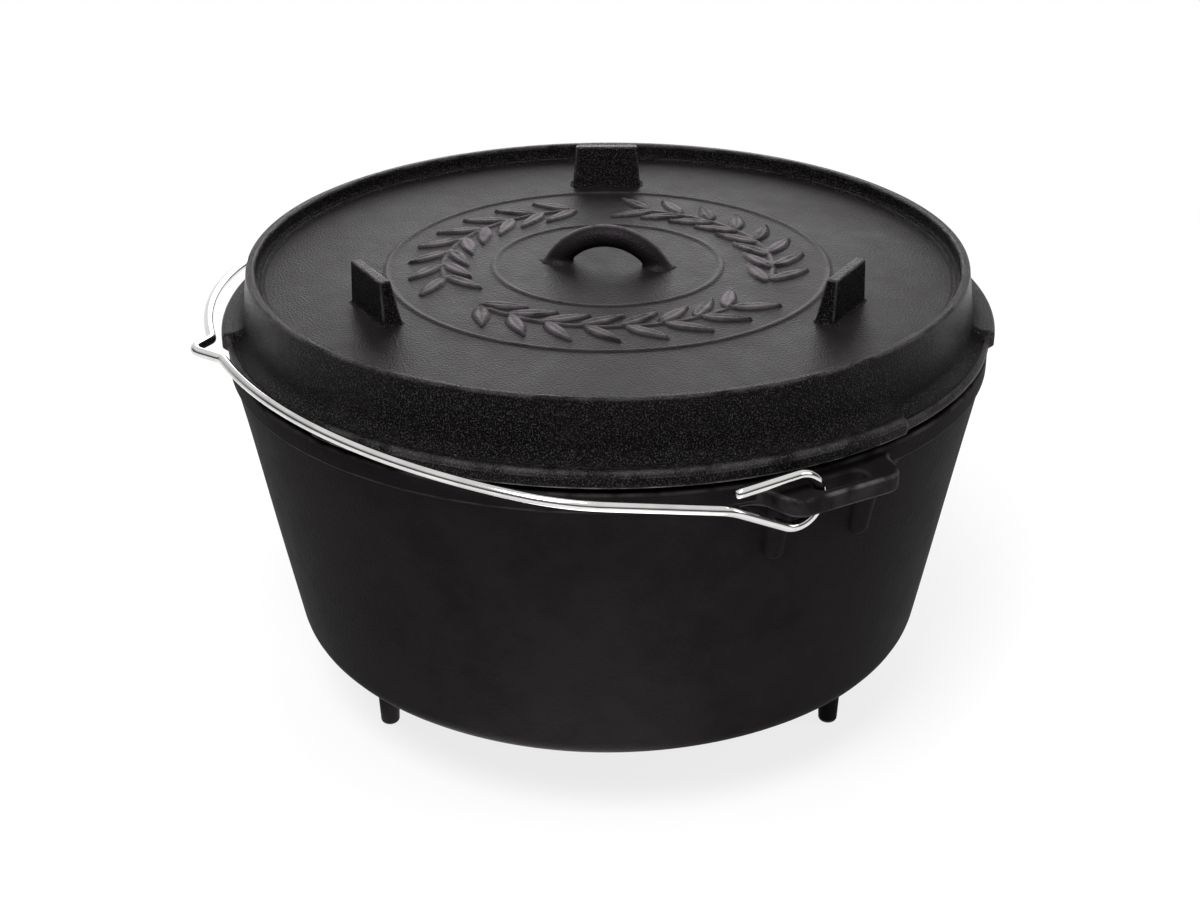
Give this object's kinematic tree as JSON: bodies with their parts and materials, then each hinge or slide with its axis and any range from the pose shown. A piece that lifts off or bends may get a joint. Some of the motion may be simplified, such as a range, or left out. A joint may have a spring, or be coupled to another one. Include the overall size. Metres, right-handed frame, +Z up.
{
  "type": "camp dutch oven",
  "caption": "Round cast-iron camp dutch oven: tapered pot on short legs with slotted ears, rimmed lid with feet and a loop handle for hot coals on top, and a swinging wire bail.",
  "frame": {"origin": "on the ground under the pot's axis, between the leg tips", "axes": "+X through the two ears, parallel to the bail's hinge line; +Z up along the pot's axis; the bail lies towards -Y"},
  "size_m": [0.4344, 0.42, 0.264],
  "materials": {
    "cast_iron": "seasoned as-cast iron, black satin with a fine sand texture",
    "steel_wire": "bright drawn steel wire"
  },
  "bodies": {
    "pot": {"pot": "cast_iron"},
    "lid": {"lid": "cast_iron", "lid_loop": "cast_iron"},
    "bail": {"bail": "steel_wire"}
  },
  "joints": [
    {"name": "lid_lift", "type": "slide", "parent": "pot", "child": "lid", "axis": [0, 0, 1], "range_m": [0, 0.22]},
    {"name": "bail_swing", "type": "hinge", "parent": "pot", "child": "bail", "pos_m": [0, -0.02325, 0.201], "axis": [-1, 0, 0], "range_deg": [-33, 140]}
  ]
}
